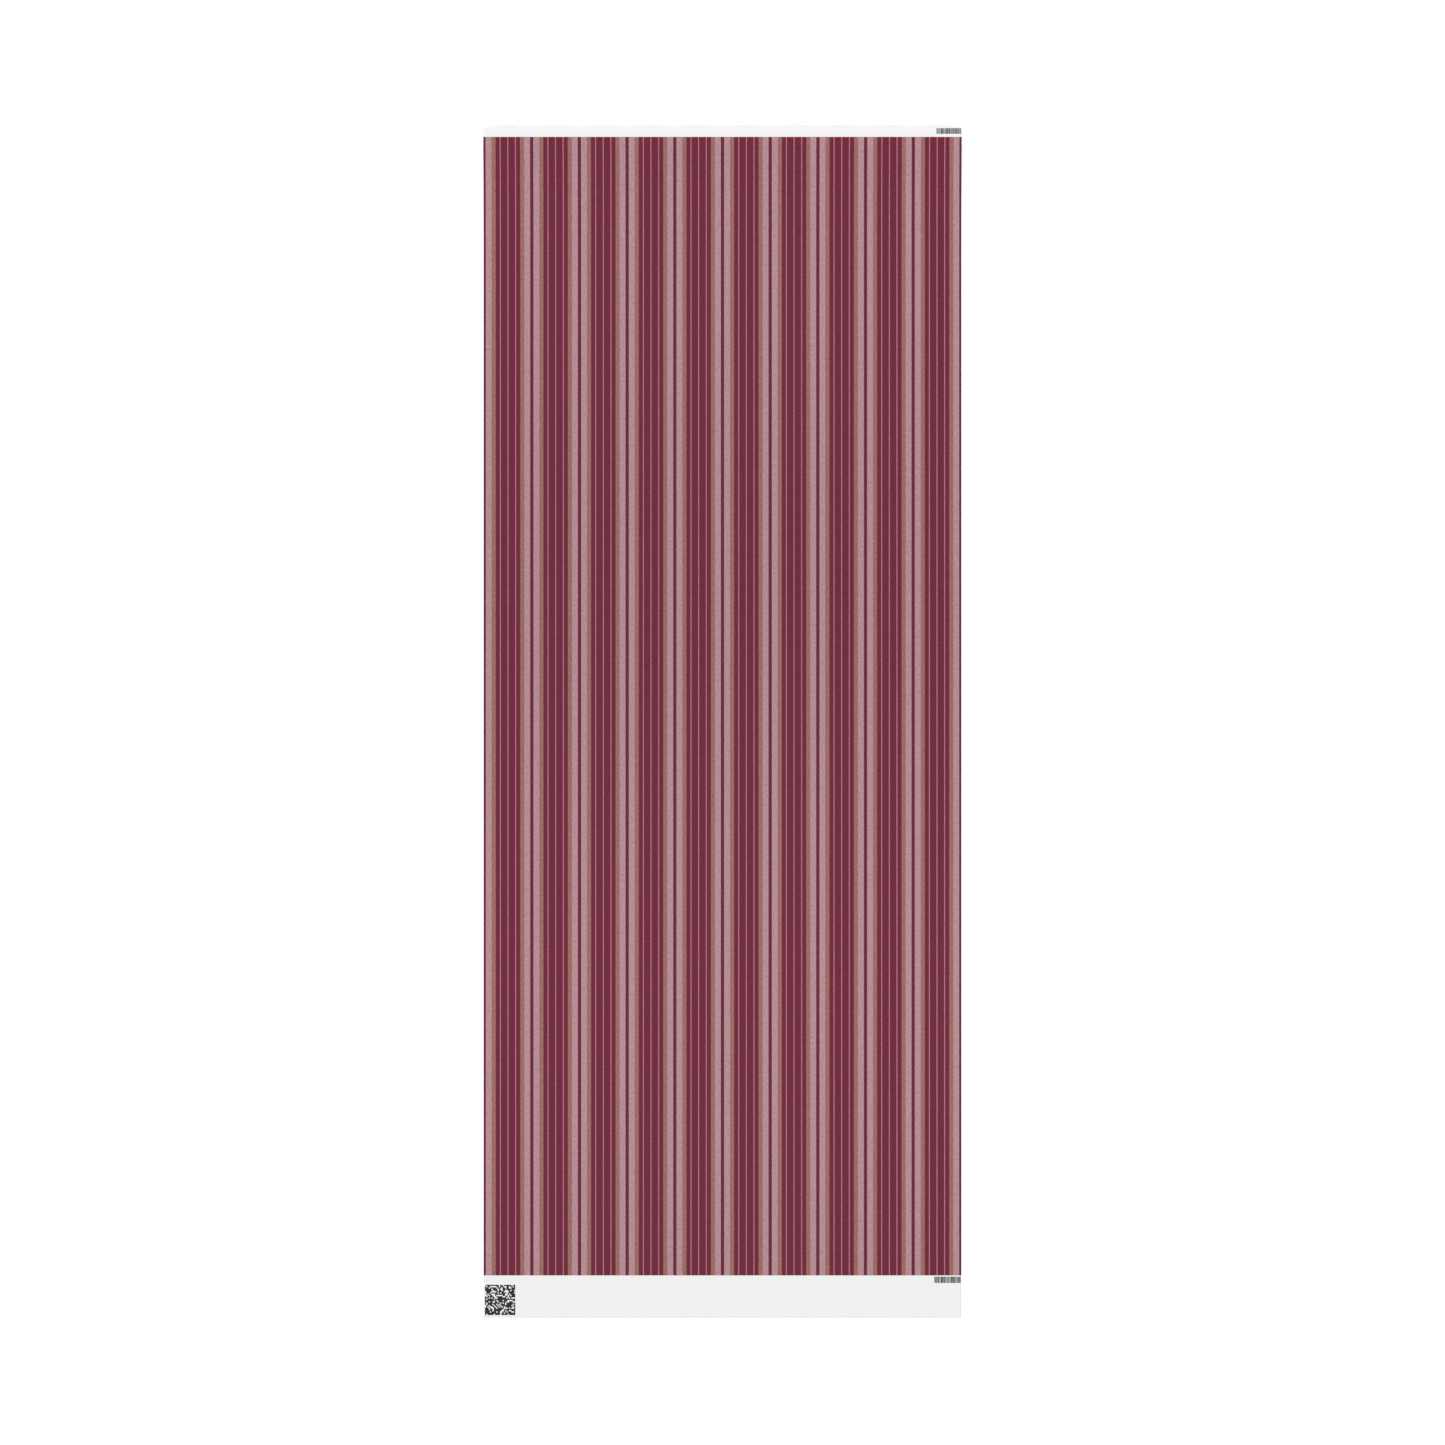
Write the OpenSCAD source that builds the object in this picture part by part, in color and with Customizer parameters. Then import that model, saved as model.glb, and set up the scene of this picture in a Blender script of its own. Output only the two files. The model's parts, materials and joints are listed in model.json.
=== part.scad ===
// Roll of gift wrapping paper with a length of its web pulled out flat on the floor.
// +Y runs along the web towards the roll, X is the roll's axis, Z is up, all in millimetres.
// The origin is on the floor, midway along and across.

/* [Web] */
// Width of the paper web and of the roll
web_w = 762; // [300:1:1200]
// Thickness of the paper
paper_t = 0.12; // [0.08:0.01:0.3]
// Length on the floor, from the free edge to the far side of the roll
laid_l = 1898; // [800:1:4000]
// Length of the unprinted strip at the free edge
end_strip_l = 67.4; // [20:0.1:150]

/* [Core] */
// Bore of the cardboard core
core_bore_d = 35; // [25:0.5:60]
// Thickness of each of the core's three plies
ply_t = 0.48; // [0.3:0.02:1]
// Film of glue between two plies
ply_gap = 0.02; // [0.01:0.01:0.05]
// Thickness of the glue spots that start the web on the core
glue_t = 0.06; // [0.04:0.01:0.1]
// Width of one glue spot along the core
glue_w = 14; // [6:1:30]
// Length of one glue spot around the core, in degrees
glue_deg = 20; // [8:1:40]
// How many glue spots there are along the core
glue_spots = 4; // [2:1:8]

/* [Roll] */
// Depth of the paper wound on the core, under its outer turn
wound_t = 2.78; // [1:0.02:20]
// Air between two touching layers of paper
layer_gap = 0.02; // [0.01:0.01:0.05]
// Where the unprinted strip on the roll begins, in degrees past the crown
header_from = 14.8; // [5:0.1:40]
// Length of the unprinted strip on the roll, measured around it
header_l = 35.4; // [20:0.1:60]

/* [Lift] */
// Where the web meets the roll, in degrees before the crown
meet_deg = 25; // [15:1:40]
// Running clearance between the web and the turning roll
run_gap = 0.1; // [0.05:0.01:0.3]
// Straight facets along the part of the web that climbs off the floor
climb_steps = 36; // [12:1:60]
// Straight facets along the part of the web that lies over the crown
crown_steps = 20; // [8:1:40]

/* [Hidden] */
$fn = 180;
core_r = core_bore_d / 2;
ply_pitch = ply_t + ply_gap;
core_out_r = core_r + 2 * ply_pitch + ply_t;
wound_in_r = core_out_r + glue_t + 2 * layer_gap;
outer_in_r = wound_in_r + wound_t + layer_gap;
roll_r = outer_in_r + paper_t;
roll_y = laid_l / 2 - roll_r;
roll_z = roll_r;
header_to = header_from + header_l / roll_r * 180 / PI;

// The climbing web leaves the floor with no kink and meets the roll along its tangent.
over_r = roll_r + run_gap;
meet_h = roll_z + over_r * cos(meet_deg);
meet_y = roll_y - over_r * sin(meet_deg);
foot_y = round(meet_y - 2 * meet_h / tan(meet_deg));
climb_l = meet_y - foot_y;
free_y = -laid_l / 2;
print_y = free_y + end_strip_l;

paper = [0.44, 0.19, 0.25];
blank = [0.95, 0.95, 0.94];
kraft = [0.62, 0.48, 0.34];
glue = [0.9, 0.88, 0.8];

// Height of the climbing web at a share u of the way from the floor to the roll.
function climb_z(u) = meet_h * (2 * pow(u, 3) - pow(u, 4));
function climb_slope(u) = atan(meet_h * (6 * pow(u, 2) - 4 * pow(u, 3)) / climb_l);
function climb_at(u, d) = [foot_y + climb_l * u - d * sin(climb_slope(u)),
                           climb_z(u) + d * cos(climb_slope(u))];
function crown_at(a, d) = [roll_y + (over_r + d) * sin(a), roll_z + (over_r + d) * cos(a)];
function lifted_line(d) = concat(
    [for (i = [0 : climb_steps]) climb_at(i / climb_steps, d)],
    [for (i = [1 : crown_steps]) crown_at(-meet_deg + (meet_deg + header_from) * i / crown_steps, d)]);
function reversed(list) = [for (i = [len(list) - 1 : -1 : 0]) list[i]];

// A straight tube about the roll's axis, as wide as the web.
module tube(r_in, r_out) {
    translate([-web_w / 2, roll_y, roll_z]) rotate([0, 90, 0]) difference() {
        cylinder(r = r_out, h = web_w);
        translate([0, 0, -1]) cylinder(r = r_in, h = web_w + 2);
    }
}

// Part of a tube between two angles past the crown, w wide and centred on x.
module arc_band(r_in, t, from, to, x, w) {
    translate([x - w / 2, roll_y, roll_z]) rotate([90, 0, 90]) rotate([0, 0, 90 - to])
        rotate_extrude(angle = to - from) translate([r_in, 0]) square([t, w]);
}

// A sheet w wide whose section is a closed line of [y, z] points.
module swept(points) {
    translate([-web_w / 2, 0, 0]) rotate([90, 0, 90]) linear_extrude(height = web_w) polygon(points);
}

module core_inner_ply() {
    color(kraft) tube(core_r, core_r + ply_t);
}

module core_middle_ply() {
    color(kraft) tube(core_r + ply_pitch, core_r + ply_pitch + ply_t);
}

module core_outer_ply() {
    color(kraft) tube(core_r + 2 * ply_pitch, core_out_r);
}

module pickup_glue() {
    color(glue) for (i = [0.5 : 1 : glue_spots - 0.5])
        arc_band(core_out_r + layer_gap, glue_t, 180 - glue_deg / 2, 180 + glue_deg / 2,
                 (i / glue_spots - 0.5) * web_w, glue_w);
}

module wound_web() {
    color(paper) tube(wound_in_r, wound_in_r + wound_t);
}

module outer_turn() {
    color(paper) arc_band(outer_in_r, paper_t, header_to, 360 + header_from, 0, web_w);
}

module header_strip() {
    color(blank) arc_band(outer_in_r, paper_t, header_from, header_to, 0, web_w);
}

module lifted_web() {
    color(paper) swept(concat(lifted_line(0), reversed(lifted_line(paper_t))));
}

module flat_web() {
    color(paper) translate([-web_w / 2, print_y, 0]) cube([web_w, foot_y - print_y, paper_t]);
}

module end_strip() {
    color(blank) translate([-web_w / 2, free_y, 0]) cube([web_w, end_strip_l, paper_t]);
}

core_inner_ply();
core_middle_ply();
core_outer_ply();
pickup_glue();
wound_web();
outer_turn();
header_strip();
lifted_web();
flat_web();
end_strip();
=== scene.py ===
import json
import math
import random

import bmesh
import bpy
import numpy as np
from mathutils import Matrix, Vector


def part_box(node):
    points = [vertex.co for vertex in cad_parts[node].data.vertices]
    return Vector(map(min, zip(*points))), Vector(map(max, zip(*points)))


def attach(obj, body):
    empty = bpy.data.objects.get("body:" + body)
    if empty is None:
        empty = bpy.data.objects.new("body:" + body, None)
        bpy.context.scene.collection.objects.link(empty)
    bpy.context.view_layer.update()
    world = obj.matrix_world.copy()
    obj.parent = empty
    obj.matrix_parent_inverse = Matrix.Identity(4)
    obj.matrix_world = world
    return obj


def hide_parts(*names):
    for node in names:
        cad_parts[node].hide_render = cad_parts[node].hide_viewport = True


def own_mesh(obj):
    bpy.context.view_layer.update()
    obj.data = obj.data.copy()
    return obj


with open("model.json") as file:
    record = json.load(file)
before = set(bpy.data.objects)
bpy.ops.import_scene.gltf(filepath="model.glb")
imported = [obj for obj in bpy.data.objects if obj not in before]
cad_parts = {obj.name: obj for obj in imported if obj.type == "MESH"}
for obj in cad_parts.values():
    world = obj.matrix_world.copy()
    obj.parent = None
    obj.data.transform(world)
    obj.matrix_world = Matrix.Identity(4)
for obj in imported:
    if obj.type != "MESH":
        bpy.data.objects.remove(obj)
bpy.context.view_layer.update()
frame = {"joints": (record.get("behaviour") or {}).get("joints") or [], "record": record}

# Lengths are in metres. X is the roll's axis, +Y runs along the web towards the roll, Z is up.
MM = 0.001
DEG = math.pi / 180

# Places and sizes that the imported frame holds.
RECORD = frame["record"]
JOINTS = {joint["name"]: joint for joint in frame["joints"]}
MOUNTS = {mount["name"]: mount for mount in RECORD["mounts"]}
FLAT_LOW, FLAT_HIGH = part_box("flat_web")
HALF_WIDTH = FLAT_HIGH.x
FREE_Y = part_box("end_strip")[0].y
PRINT_Y = FLAT_LOW.y
FOOT_Y = FLAT_HIGH.y
PAPER = FLAT_HIGH.z - FLAT_LOW.z
AXIS_Y, AXIS_Z = JOINTS["roll_wind"]["pos_m"][1:]
ROLL_R = RECORD["behaviour"]["couplings"][0]["ratio"]
BORE_R = MOUNTS["core_bore"]["dims"]["r_mm"] * MM
OVER_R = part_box("lifted_web")[1].z - AXIS_Z - PAPER

# The roll in section. Angles are measured past the crown, towards +Y.
MEET = -25 * DEG
MEET_Y = AXIS_Y + OVER_R * math.sin(MEET)
MEET_Z = AXIS_Z + OVER_R * math.cos(MEET)
HEADER_FROM = 14.8 * DEG
HEADER_LENGTH = 35.4 * MM
HEADER_TO = HEADER_FROM + HEADER_LENGTH / ROLL_R
PLY = 0.48 * MM
FILM = 0.02 * MM
GLUE = 0.06 * MM
CORE_R = BORE_R + 3 * PLY + 2 * FILM
WOUND_R = CORE_R + GLUE + 2 * FILM
TURNS = 20

# How each ply of the core is wound: how far it runs along the core in a turn, and the seam's gap.
LEAD = 80 * MM
BUTT = 0.35 * MM

# Flattened dabs of glue start the web on the core.
GLUE_SPOTS = 4
DAB_HALF_WIDTH = 7 * MM
DAB_HALF_ANGLE = 10 * DEG
DAB_RINGS = 8
DAB_SIDES = 32

# How the paper departs from lying flat. Each flute is its share, its length and its phase. The
# web settles onto the floor from one share of its length, over another.
FLUTES = ((0.24, 0.041, 0.7), (0.16, 0.023, -1.1), (0.10, 0.067, 2.0))
FLUTE_MM = 0.55
EDGE_RISE_MM = 0.6
SETTLE_FROM = 0.8
SETTLE_OVER = 0.2
END_HUMP = 1.1 * MM
CLIMB_RIPPLE = 0.8 * MM
UNEVEN_ENDS = 0.12 * MM

# The print repeats across the web. Each band is mirrored about its middle, and these are
# distances from there, in millimetres.
REPEAT = 76.0
WINE_TO = 19.5
TAN_TO = 26.0
PINK_TO = 35.4
ROSE_AT = (0.0, 12.15)
ROSE_HALF = 0.76

# Painted shade: the colour is lightest at one place along the web, and again every so often, in
# metres.
SHADE_WAVE_LENGTH = 1.35
SHADE_WAVE_PEAK = -0.44

# The codes. Bars and gaps are in millimetres, and a bar code stops short of the right edge.
BAR_WIDTHS = (0.5, 0.8, 1.2, 1.8)
BAR_GAPS = (0.3, 0.35, 0.5)
BARS_INSET = 0.6 * MM
END_BARS_REACH = 43 * MM
END_BARS_FROM = 12 * MM
END_BARS_TO = 2 * MM
HEADER_BARS_REACH = 40 * MM
HEADER_BARS_FROM = 28.5 * DEG
HEADER_BARS_TO = 65.4 * DEG
PATCH_SIZE = 48.4 * MM
PATCH_CELLS = 24
PATCH_FILL = 0.78
PATCH_LEFT_INSET = 2.2 * MM
PATCH_NEAR_INSET = 4.1 * MM

# The fine rim of the free strip: a grey line of painted shadow along its right and near edges.
SHADOW_RIM_WIDTH = 1.2 * MM

# About how large the faces of each mesh are.
LAID_STEP = 12 * MM
END_STEP = 4 * MM
CLIMB_STEP = 0.03
CROWN_STEP = 2 * DEG
TURN_STEP = 3.5 * DEG
WOUND_STEP = 5 * DEG

# What each colour of paper, ink and board reflects, as linear red, green and blue.
WINE = (0.137, 0.0138, 0.0325)
NARROW = (0.120, 0.0138, 0.0300)
ROSE = (0.430, 0.160, 0.212)
TAN = (0.303, 0.126, 0.104)
PINK = (0.420, 0.236, 0.266)
BLANK = (0.810, 0.810, 0.810)
# Painted light: the free strip's paper, made lighter for the strip on the roll's far side.
LIT_HEADER_BLANK = (0.838, 0.838, 0.838)
PAPER_BACK = (0.86, 0.845, 0.835)
PAPER_EDGE = (0.80, 0.785, 0.775)
# Painted shadow: the grey of the line along the free strip's right and near edges.
EDGE_SHADOW_GREY = (0.620, 0.620, 0.620)
INK = (0.020, 0.020, 0.022)
KRAFT = (0.400, 0.265, 0.155)
GLUE_COLOUR = (0.780, 0.740, 0.600)
STRIPES = {"wine": WINE, "narrow": NARROW, "rose": ROSE, "tan": TAN, "pink": PINK}
PLY_TONES = {"inner": 1.0, "middle": 0.93, "outer": 1.06}

# The floor reaches far past every view, and lies just under the paper.
FLOOR_HALF = 40
FLOOR_DROP = 0.02 * MM

# How much of the floor the square picture takes in.
SEEN = 2.304


# ---------------------------------------------------------------- shader parts

def shader(name):
    """A new material with its nodes, links and main shader."""
    material = bpy.data.materials.new(name)
    material.use_nodes = True
    tree = material.node_tree
    return material, tree, tree.nodes["Principled BSDF"]


def coordinate(tree, axis):
    """Where a point is along one of the piece's own axes."""
    coordinates = tree.nodes.new("ShaderNodeTexCoord")
    split = tree.nodes.new("ShaderNodeSeparateXYZ")
    tree.links.new(coordinates.outputs["Object"], split.inputs[0])
    return split.outputs[axis]


def noise(tree, scale, detail, stretch=(1, 1, 1)):
    """Noise in the piece's own coordinates, scale features to a metre."""
    coordinates = tree.nodes.new("ShaderNodeTexCoord")
    mapping = tree.nodes.new("ShaderNodeMapping")
    mapping.inputs["Scale"].default_value = stretch
    texture = tree.nodes.new("ShaderNodeTexNoise")
    texture.inputs["Scale"].default_value = scale
    texture.inputs["Detail"].default_value = detail
    tree.links.new(coordinates.outputs["Object"], mapping.inputs["Vector"])
    tree.links.new(mapping.outputs["Vector"], texture.inputs["Vector"])
    return texture.outputs["Fac"]


def maths(tree, operation, *values):
    """The result of one sum. Each value is a number or the output of another node."""
    node = tree.nodes.new("ShaderNodeMath")
    node.operation = operation
    for socket, value in zip(node.inputs, values):
        if isinstance(value, bpy.types.NodeSocket):
            tree.links.new(value, socket)
        else:
            socket.default_value = value
    return node.outputs[0]


def spread(tree, value, low, high, start=0.3, stop=0.7):
    """Maps a value between start and stop onto the range from low to high."""
    ranged = tree.nodes.new("ShaderNodeMapRange")
    ranged.inputs["From Min"].default_value = start
    ranged.inputs["From Max"].default_value = stop
    ranged.inputs["To Min"].default_value = low
    ranged.inputs["To Max"].default_value = high
    tree.links.new(value, ranged.inputs["Value"])
    return ranged.outputs["Result"]


def painted_shade_waves(tree, share):
    """Painted shade: the colour gets slightly lighter, then darker, in slow waves along the web."""
    turned = maths(tree, "MULTIPLY_ADD", coordinate(tree, "Y"), 2 * math.pi / SHADE_WAVE_LENGTH,
                   -2 * math.pi * SHADE_WAVE_PEAK / SHADE_WAVE_LENGTH)
    return spread(tree, maths(tree, "COSINE", turned), 1 - share, 1 + share, -1, 1)


def shade(tree, colour, value):
    """A colour made lighter or darker by a value about 1."""
    scaled = tree.nodes.new("ShaderNodeVectorMath")
    scaled.operation = "SCALE"
    scaled.inputs[0].default_value = colour
    tree.links.new(value, scaled.inputs["Scale"])
    return scaled.outputs[0]


def bump(tree, height, depth, strength):
    """A surface relief of the given depth."""
    relief = tree.nodes.new("ShaderNodeBump")
    relief.inputs["Strength"].default_value = strength
    relief.inputs["Distance"].default_value = depth
    tree.links.new(height, relief.inputs["Height"])
    return relief.outputs["Normal"]


# ---------------------------------------------------------------- materials

def paper_material(name, colour, grain, rough, specular):
    """Coated paper: mottled ink that takes unevenly on the fibres, with painted shade in slow waves
    along the web.
    """
    material, tree, surface = shader(name)
    fibres = noise(tree, scale=1500, detail=5, stretch=(1, 0.45, 1))
    patches = noise(tree, scale=270, detail=2, stretch=(1.3, 0.8, 1))
    mottle = spread(tree, patches, 1 - grain, 1 + grain)
    take = spread(tree, fibres, 1 - 0.6 * grain, 1 + 0.6 * grain)
    # The ink's mottle and grain, times painted shade in slow waves along the web.
    uneven = maths(tree, "MULTIPLY", maths(tree, "MULTIPLY", mottle, take),
                   painted_shade_waves(tree, 0.2 * grain))
    tree.links.new(shade(tree, colour, uneven), surface.inputs["Base Color"])
    sheen = noise(tree, scale=900, detail=3)
    tree.links.new(spread(tree, sheen, rough - 0.06, rough + 0.06), surface.inputs["Roughness"])
    tree.links.new(bump(tree, fibres, depth=0.03 * MM, strength=0.35), surface.inputs["Normal"])
    surface.inputs["Specular IOR Level"].default_value = specular
    return material


def show_through_material(name):
    """The back of the printed paper, where the stripes show through very faintly."""
    material, tree, surface = shader(name)
    fold = maths(tree, "PINGPONG", coordinate(tree, "X"), REPEAT / 2 * MM)
    ghost = spread(tree, fold, 0.97, 0.90, (REPEAT / 2 - TAN_TO) * MM,
                   (REPEAT / 2 - WINE_TO) * MM)
    fine = spread(tree, noise(tree, scale=500, detail=4), 0.985, 1.015)
    tree.links.new(shade(tree, PAPER_BACK, maths(tree, "MULTIPLY", fine, ghost)),
                   surface.inputs["Base Color"])
    fibres = noise(tree, scale=1100, detail=5, stretch=(1, 0.4, 1))
    tree.links.new(bump(tree, fibres, depth=0.04 * MM, strength=0.3), surface.inputs["Normal"])
    surface.inputs["Roughness"].default_value = 0.85
    surface.inputs["Specular IOR Level"].default_value = 0.2
    return material


def board_material(name, tone):
    """Grey-brown core board with long fibres and small dark flecks."""
    material, tree, surface = shader(name)
    fibres = spread(tree, noise(tree, scale=260, detail=6, stretch=(0.5, 1, 1)), 0.86, 1.12)
    flecks = spread(tree, noise(tree, scale=1500, detail=2), 1.0, 0.72, 0.62, 0.72)
    colour = tuple(part * tone for part in KRAFT)
    tree.links.new(shade(tree, colour, maths(tree, "MULTIPLY", fibres, flecks)),
                   surface.inputs["Base Color"])
    ridges = noise(tree, scale=700, detail=6, stretch=(0.4, 1, 1))
    tree.links.new(bump(tree, ridges, depth=0.08 * MM, strength=0.5), surface.inputs["Normal"])
    surface.inputs["Roughness"].default_value = 0.9
    surface.inputs["Specular IOR Level"].default_value = 0.2
    return material


def ink_material(name):
    """The near-black ink of the codes, slightly uneven."""
    material, tree, surface = shader(name)
    uneven = spread(tree, noise(tree, scale=1200, detail=3), 0.9, 1.15)
    tree.links.new(shade(tree, INK, uneven), surface.inputs["Base Color"])
    fibres = noise(tree, scale=1400, detail=4, stretch=(1, 0.4, 1))
    tree.links.new(bump(tree, fibres, depth=0.02 * MM, strength=0.25), surface.inputs["Normal"])
    surface.inputs["Roughness"].default_value = 0.6
    surface.inputs["Specular IOR Level"].default_value = 0.2
    return material


def glue_material(name):
    """Dried glue, yellowish and a little glossy."""
    material, tree, surface = shader(name)
    uneven = spread(tree, noise(tree, scale=300, detail=3), 0.9, 1.08)
    tree.links.new(shade(tree, GLUE_COLOUR, uneven), surface.inputs["Base Color"])
    ripples = noise(tree, scale=400, detail=2)
    tree.links.new(bump(tree, ripples, depth=0.05 * MM, strength=0.4), surface.inputs["Normal"])
    surface.inputs["Roughness"].default_value = 0.35
    return material


PRINT = {name: paper_material(f"print_{name}", colour, grain=0.135, rough=0.62, specular=0.2)
         for name, colour in STRIPES.items()}
WHITE = paper_material("blank_paper", BLANK, grain=0.012, rough=0.66, specular=0.3)
# Painted light: the same blank paper, made lighter for the roll's far side.
LIT_HEADER_WHITE = paper_material("header_paper_painted_light", LIT_HEADER_BLANK, grain=0.012, rough=0.66, specular=0.3)
# Painted shadow along the free strip's right and near edges.
SHADOW_RIM = paper_material("painted_shadow_rim", EDGE_SHADOW_GREY, grain=0.03, rough=0.75, specular=0.2)
BACK = show_through_material("paper_back")
EDGE = paper_material("cut_edge", PAPER_EDGE, grain=0.02, rough=0.8, specular=0.2)
CODE = ink_material("code_ink")
BOARD = {name: board_material(f"core_board_{name}", tone) for name, tone in PLY_TONES.items()}
GLUED = glue_material("pickup_glue")


# ---------------------------------------------------------------- mesh building

class Builder:
    """Gathers grids of faces into one mesh, each grid with its own material."""

    def __init__(self, name, materials):
        self.name, self.materials = name, materials
        self.points, self.faces, self.slots, self.smooth = [], [], [], []

    def grid(self, points, slot, flip=False, smooth=True, keep=None):
        """points is an array of rows, columns and 3. keep says which faces to make."""
        rows, columns = points.shape[:2]
        first = len(self.points)
        self.points.extend(map(tuple, points.reshape(-1, 3)))
        for i in range(rows - 1):
            for j in range(columns - 1):
                if keep is not None and not keep[i][j]:
                    continue
                a = first + i * columns + j
                face = (a, a + columns, a + columns + 1, a + 1)
                self.faces.append(face[::-1] if flip else face)
                self.slots.append(slot)
                self.smooth.append(smooth)

    def piece(self, body, slot, node):
        """Makes the object, rides it on its body, and hides the node it stands for."""
        mesh = bpy.data.meshes.new(self.name)
        used = sorted({corner for face in self.faces for corner in face})
        new = {old: i for i, old in enumerate(used)}
        mesh.from_pydata([self.points[i] for i in used], [],
                         [[new[corner] for corner in face] for face in self.faces])
        for material in self.materials:
            mesh.materials.append(material)
        mesh.polygons.foreach_set("material_index", self.slots)
        mesh.polygons.foreach_set("use_smooth", self.smooth)
        mesh.validate()
        made = bpy.data.objects.new(self.name, mesh)
        bpy.context.scene.collection.objects.link(made)
        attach(made, body)
        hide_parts(node)
        return made


def close_tips(piece):
    """Joins the corners that meet, and drops the faces that have no area."""
    work = bmesh.new()
    work.from_mesh(piece.data)
    bmesh.ops.remove_doubles(work, verts=work.verts, dist=1e-6)
    bmesh.ops.dissolve_degenerate(work, edges=work.edges, dist=1e-6)
    bmesh.ops.recalc_face_normals(work, faces=work.faces)
    work.to_mesh(piece.data)
    work.free()


def steps(low, high, size):
    """Even steps from low to high, each about the given size."""
    return np.linspace(low, high, max(2, round((high - low) / size) + 1))


def net(across, along, place, depth):
    """The points of a sheet at a depth above its back, as an array of across, along and 3."""
    x, s = np.meshgrid(np.array(across), np.array(along), indexing="ij")
    return np.stack(np.broadcast_arrays(*place(x, s, depth)), axis=-1)


def length_along(along, place):
    """How long a sheet is on its middle layer, from one end to the other."""
    line = net([0], along, place, PAPER / 2)[0]
    return float(np.linalg.norm(np.diff(line, axis=0), axis=1).sum())


def add_edges(builder, across, along, place, edge):
    """The four cut edges between a sheet's back and its face."""
    back, front = net(across, along, place, 0), net(across, along, place, PAPER)
    for side, flip in ((0, True), (-1, False)):
        builder.grid(np.stack([back[side], front[side]], axis=1), edge, flip, smooth=False)
        builder.grid(np.stack([back[:, side], front[:, side]], axis=1), edge, not flip,
                     smooth=False)


# ---------------------------------------------------------------- printed sheets

def stripe(x):
    """The colour printed at x."""
    from_middle = abs(x / MM % REPEAT - REPEAT / 2)
    if min(abs(from_middle - at) for at in ROSE_AT) < ROSE_HALF:
        return "rose"
    if from_middle < WINE_TO:
        return "wine"
    if from_middle < TAN_TO:
        return "tan"
    return "pink" if from_middle < PINK_TO else "narrow"


def stripe_edges():
    """Every place across the web where the colour changes, with the web's two edges."""
    offsets = [ROSE_HALF, ROSE_AT[1] - ROSE_HALF, ROSE_AT[1] + ROSE_HALF, WINE_TO, TAN_TO,
               PINK_TO]
    bands = round(2 * HALF_WIDTH / MM / REPEAT)
    edges = {-HALF_WIDTH, HALF_WIDTH}
    for band in range(bands):
        middle = (band + 0.5 - bands / 2) * REPEAT
        edges |= {(middle + side * offset) * MM for side in (-1, 1) for offset in offsets}
    return sorted(edges)


def add_sheet(builder, across, along, place, face, back, edge):
    """A closed sheet of paper. face gives the slot printed at x, and each stripe is its own strip.
    The back is two halves: as one, it crowds the finest lines when the colours are baked."""
    start = 0
    for i in range(1, len(across)):
        middle = (across[i - 1] + across[i]) / 2
        last = i == len(across) - 1
        if last or face((across[i] + across[i + 1]) / 2) != face(middle):
            builder.grid(net(across[start:i + 1], along, place, PAPER), face(middle))
            start = i
    centre = len(across) // 2
    for half in (across[:centre + 1], across[centre:]):
        builder.grid(net(half, along, place, 0), back, flip=True)
    add_edges(builder, across, along, place, edge)


def printed_sheet(name, along, place):
    """A builder that holds a printed stretch of the web."""
    names = list(STRIPES)
    builder = Builder(name, [PRINT[colour] for colour in names] + [BACK, EDGE])
    add_sheet(builder, stripe_edges(), along, place, lambda x: names.index(stripe(x)),
              back=len(names), edge=len(names) + 1)
    return builder


# ---------------------------------------------------------------- blank sheets and their codes

def random_bars(left, right, low, high, seed):
    """Bars of random widths, each a box of x and s. They hold no data."""
    chance = random.Random(seed)
    bars, x = [], left
    while x < right:
        bar = chance.choice(BAR_WIDTHS) * MM
        bars.append((x, min(x + bar, right), low, high))
        x += bar + chance.choice(BAR_GAPS) * MM
    return bars


def random_patch(left, low, size, cells, seed):
    """A square of random dots. It has no marks for a reader to find, and holds no data."""
    chance = random.Random(seed)
    step = size / cells
    return [(left + i * step, left + (i + 1) * step, low + j * step, low + (j + 1) * step)
            for i in range(cells) for j in range(cells) if chance.random() < PATCH_FILL]


def blank_sheet(name, white, across, along, place, boxes, shadow_width=0):
    """A builder that holds a blank stretch of the web, with ink in the boxes. A rim is a fine grey
    line of painted shadow along the right and near edges."""
    across = sorted(set(across) | {x for box in boxes for x in box[:2]})
    along = sorted(set(along) | {s for box in boxes for s in box[2:]})
    inked = np.zeros((len(across) - 1, len(along) - 1), bool)
    for left, right, low, high in boxes:
        columns = slice(across.index(left), across.index(right))
        inked[columns, along.index(low):along.index(high)] = True
    middle_x = np.convolve(across, (0.5, 0.5), "valid")[:, None]
    middle_s = np.convolve(along, (0.5, 0.5), "valid")
    shadowed = (middle_x > HALF_WIDTH - shadow_width) | (middle_s < along[0] + shadow_width)
    builder = Builder(name, [white, BACK, EDGE, SHADOW_RIM, CODE])
    face = net(across, along, place, PAPER)
    # Slot 3 is the painted shadow along the rim.
    for slot, keep in ((0, ~inked & ~shadowed), (3, ~inked & shadowed), (4, inked)):
        builder.grid(face, slot, keep=keep)
    builder.grid(net(across, along, place, 0), 1, flip=True)
    add_edges(builder, across, along, place, 2)
    return builder


# ---------------------------------------------------------------- how the web lies

def smooth_step(value):
    """From 0 to 1 with no kink at either end."""
    value = np.clip(value, 0, 1)
    return value * value * (3 - 2 * value)


def flutes(x):
    """Shallow lengthwise troughs across the web, from 0 to about 1."""
    return sum((share * np.cos(x / length + phase) for share, length, phase in FLUTES), start=0.5)


def edge_rise(x):
    """The two long edges stand slightly off the floor."""
    return (np.abs(x) / HALF_WIDTH) ** 10


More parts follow.
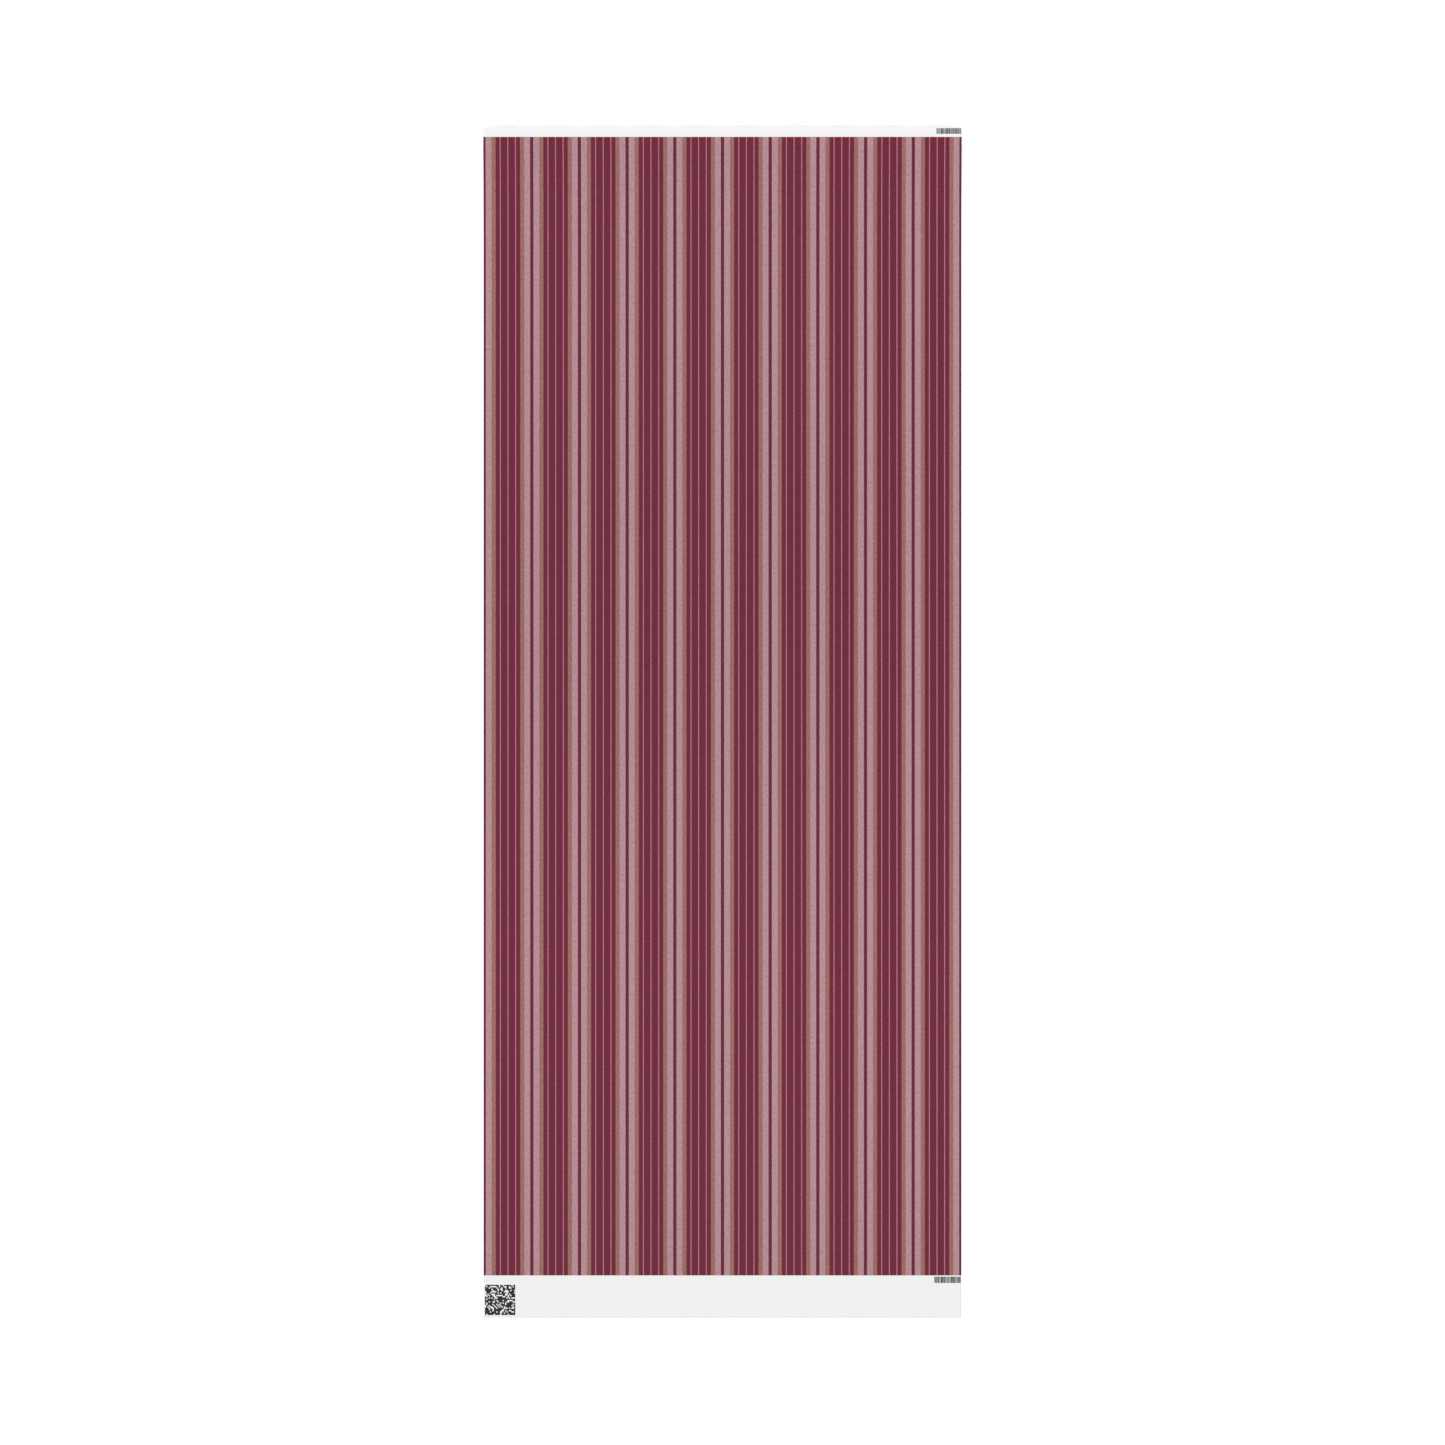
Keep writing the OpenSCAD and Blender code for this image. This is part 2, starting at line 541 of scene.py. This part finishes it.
def lie_height(x, y):
    """How far the back of the laid web is off the floor. It settles before the foot of the climb."""
    share = (y - PRINT_Y) / (FOOT_Y - PRINT_Y)
    settle = 1 - smooth_step((share - SETTLE_FROM) / SETTLE_OVER)
    swell = 0.72 + 0.28 * np.cos(5.2 * share + 0.6)
    return settle * swell * (FLUTE_MM * flutes(x) + EDGE_RISE_MM * edge_rise(x)) * MM


def lie(x, y, depth):
    """The laid web."""
    return x, y, lie_height(x, y) + depth


def lie_at_end(x, y, depth):
    """The free strip keeps a little of the roll's curl: a low hump, then down to the free edge."""
    share = (PRINT_Y - y) / (PRINT_Y - FREE_Y)
    hump = END_HUMP * np.sin(math.pi * share) ** 2
    return x, y, lie_height(x, PRINT_Y) * (1 - smooth_step(share)) + hump + depth


def around(radius, angle):
    """The y and z of a point on the roll."""
    return AXIS_Y + radius * np.sin(angle), AXIS_Z + radius * np.cos(angle)


def climb(x, share, depth):
    """The web from the floor at share 0, up to the roll at 1, then over the crown by angle."""
    up = np.clip(share, 0, 1)
    length = MEET_Y - FOOT_Y
    slope = np.arctan(MEET_Z * (6 * up ** 2 - 4 * up ** 3) / length)
    sag = CLIMB_RIPPLE * (flutes(x) - 0.5) * np.sin(math.pi * up) ** 2
    y = FOOT_Y + length * up - depth * np.sin(slope)
    z = MEET_Z * (2 * up ** 3 - up ** 4) + sag + depth * np.cos(slope)
    turned = np.clip(share - 1, 0, None) + MEET
    over_y, over_z = around(OVER_R + depth, turned)
    return x, np.where(share > 1, over_y, y), np.where(share > 1, over_z, z)


def on_roll(x, angle, depth):
    """The roll's outer turn."""
    return (x, *around(ROLL_R - PAPER + depth, angle))


def wound(x, angle, depth):
    """The turns under the outer one, a spiral whose ends are not quite even."""
    outer = ROLL_R - 2 * PAPER - FILM
    share = angle / (2 * math.pi * TURNS)
    ragged = UNEVEN_ENDS * (1 - np.cos(angle / 3.1) * np.cos(angle / 0.9))
    return (x - np.sign(x) * ragged, *around(outer + (WOUND_R - outer) * share + depth, angle))


# ---------------------------------------------------------------- the pieces

def make_flat_web():
    """The printed web on the floor. Drawing the web in shortens it towards the roll."""
    piece = printed_sheet("flat_web_sheet", steps(PRINT_Y, FOOT_Y, LAID_STEP), lie).piece(
        "web", "printed_paper", "flat_web")
    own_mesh(piece)


def make_wound_web():
    """The paper still on the core: one strip wound in a spiral, printed side out."""
    along = steps(0, 2 * math.pi * TURNS, WOUND_STEP)
    builder = Builder("wound_web_turns", [PRINT["wine"], BACK, EDGE])
    add_sheet(builder, [-HALF_WIDTH, HALF_WIDTH], along, wound, lambda x: 0, back=1, edge=2)
    piece = builder.piece("roll", "printed_paper", "wound_web")


def make_outer_turn():
    """The printed part of the roll's outer turn."""
    along = steps(HEADER_TO, 2 * math.pi + HEADER_FROM, TURN_STEP)
    piece = printed_sheet("outer_turn_sheet", along, on_roll).piece(
        "roll", "printed_paper", "outer_turn")


def make_header_strip():
    """The unprinted strip on the far side of the roll, with its code."""
    bars = random_bars(HALF_WIDTH - HEADER_BARS_REACH, HALF_WIDTH - BARS_INSET, HEADER_BARS_FROM,
                       HEADER_BARS_TO, seed=5)
    across = steps(-HALF_WIDTH, HALF_WIDTH, LAID_STEP).tolist()
    along = steps(HEADER_FROM, HEADER_TO, TURN_STEP).tolist()
    # Its paper is painted lighter than the free strip's. This is painted light on the roll's far
    # side.
    piece = blank_sheet("header_strip_sheet", LIT_HEADER_WHITE, across, along, on_roll, bars).piece(
        "roll", "blank_paper", "header_strip")


def make_lifted_web():
    """The printed web from the floor over the crown of the roll."""
    crown = 1 + steps(0, HEADER_FROM - MEET, CROWN_STEP)[1:]
    along = np.concatenate([steps(0, 1, CLIMB_STEP), crown])
    piece = printed_sheet("lifted_web_sheet", along, climb).piece(
        "web", "printed_paper", "lifted_web")
    length_along(along, climb)


def make_end_strip():
    """The unprinted strip at the free edge, with its two codes and its rim of painted shadow."""
    codes = random_patch(-HALF_WIDTH + PATCH_LEFT_INSET, FREE_Y + PATCH_NEAR_INSET, PATCH_SIZE,
                         PATCH_CELLS, seed=4)
    codes += random_bars(HALF_WIDTH - END_BARS_REACH, HALF_WIDTH - BARS_INSET,
                         PRINT_Y - END_BARS_FROM, PRINT_Y - END_BARS_TO, seed=9)
    across = steps(-HALF_WIDTH, HALF_WIDTH, LAID_STEP).tolist() + [HALF_WIDTH - SHADOW_RIM_WIDTH]
    along = steps(FREE_Y, PRINT_Y, END_STEP).tolist() + [FREE_Y + SHADOW_RIM_WIDTH]
    piece = blank_sheet("end_strip_sheet", WHITE, across, along, lie_at_end, codes,
                        SHADOW_RIM_WIDTH).piece("free_end", "blank_paper", "end_strip")


def make_core_ply(index, name):
    """One ply of the core: a strip of board wound in a helix, with a fine butt seam."""
    inner = BORE_R + index * (PLY + FILM)
    width = LEAD - BUTT
    seam = index / len(BOARD)
    first = 2 * math.pi * (seam - 1)
    last = first + 2 * math.pi * (2 * HALF_WIDTH + width) / LEAD
    angles = np.linspace(first, last, round((last - first) / WOUND_STEP) + 1)
    near = -HALF_WIDTH - width + LEAD * (angles - first) / (2 * math.pi)
    left = np.clip(near, -HALF_WIDTH, HALF_WIDTH)
    right = np.clip(near + width, -HALF_WIDTH, HALF_WIDTH)
    builder = Builder(f"core_{name}_ply_board", [BOARD[name]])
    corners = [(left, inner), (right, inner), (right, inner + PLY), (left, inner + PLY)]
    for (x_one, r_one), (x_two, r_two) in zip(corners, corners[1:] + corners[:1]):
        sides = [np.stack([x, *around(r, angles)], axis=-1)
                 for x, r in ((x_one, r_one), (x_two, r_two))]
        builder.grid(np.stack(sides), 0, flip=True, smooth=r_one == r_two)
    close_tips(builder.piece("roll", "kraft_board", f"core_{name}_ply"))


def make_glue():
    """The flattened dabs of glue between the core and the first turn."""
    builder = Builder("pickup_glue_dabs", [GLUED])
    rings, turn = np.meshgrid(np.linspace(0, 1, DAB_RINGS),
                              np.linspace(0, 2 * math.pi, DAB_SIDES + 1), indexing="ij")
    for spot in range(GLUE_SPOTS):
        middle = ((spot + 0.5) / GLUE_SPOTS - 0.5) * 2 * HALF_WIDTH
        x = middle + DAB_HALF_WIDTH * rings * np.cos(turn)
        angle = math.pi + DAB_HALF_ANGLE * rings * np.sin(turn)
        for height, flip in ((GLUE * (1 - rings ** 4), False), (0 * rings, True)):
            dab = np.stack([x, *around(CORE_R + FILM + height, angle)], axis=-1)
            builder.grid(dab, 0, flip=flip)
    close_tips(builder.piece("roll", "glue", "pickup_glue"))


# ---------------------------------------------------------------- floor, light and camera

def make_floor():
    """A plain white floor, bright enough to read as pure white from above."""
    mesh = bpy.data.meshes.new("floor")
    half = FLOOR_HALF
    mesh.from_pydata([(-half, -half, 0), (half, -half, 0), (half, half, 0), (-half, half, 0)],
                     [], [(0, 1, 2, 3)])
    material, _, surface = shader("floor_white")
    surface.inputs["Base Color"].default_value = (0.97, 0.97, 0.97, 1)
    surface.inputs["Roughness"].default_value = 0.9
    surface.inputs["Specular IOR Level"].default_value = 0.1
    surface.inputs["Emission Color"].default_value = (1, 1, 1, 1)
    surface.inputs["Emission Strength"].default_value = 0.28
    mesh.materials.append(material)
    floor = bpy.data.objects.new("floor", mesh)
    floor.location.z = -FLOOR_DROP
    bpy.context.scene.collection.objects.link(floor)


def make_light():
    """A bright even room, with one wide soft lamp high on the near left."""
    world = bpy.data.worlds.new("room")
    world.use_nodes = True
    room = world.node_tree.nodes["Background"]
    room.inputs["Color"].default_value = (1, 1, 1, 1)
    room.inputs["Strength"].default_value = 1.0
    bpy.context.scene.world = world
    lamp = bpy.data.lights.new("soft_lamp", "SUN")
    lamp.energy = 0.24
    lamp.angle = 40 * DEG
    holder = bpy.data.objects.new("soft_lamp", lamp)
    holder.rotation_euler = (12 * DEG, -8 * DEG, 0)
    bpy.context.scene.collection.objects.link(holder)


def make_camera():
    """Straight above, from far off, with the web's length up the picture. Other views of the
    scene use the same lens, and a much longer one would leave them nothing to see."""
    camera = bpy.data.cameras.new("camera")
    camera.lens = 600
    camera.sensor_width = 36
    camera.clip_end = 100
    holder = bpy.data.objects.new("camera", camera)
    holder.location = (0, 0, SEEN * camera.lens / camera.sensor_width)
    bpy.context.scene.collection.objects.link(holder)
    bpy.context.scene.camera = holder


make_flat_web()
make_wound_web()
make_outer_turn()
make_header_strip()
make_lifted_web()
make_end_strip()
for number, ply in enumerate(BOARD):
    make_core_ply(number, ply)
make_glue()

make_floor()
make_light()
make_camera()
bpy.context.scene.view_settings.view_transform = "Standard"

bpy.context.view_layer.update()
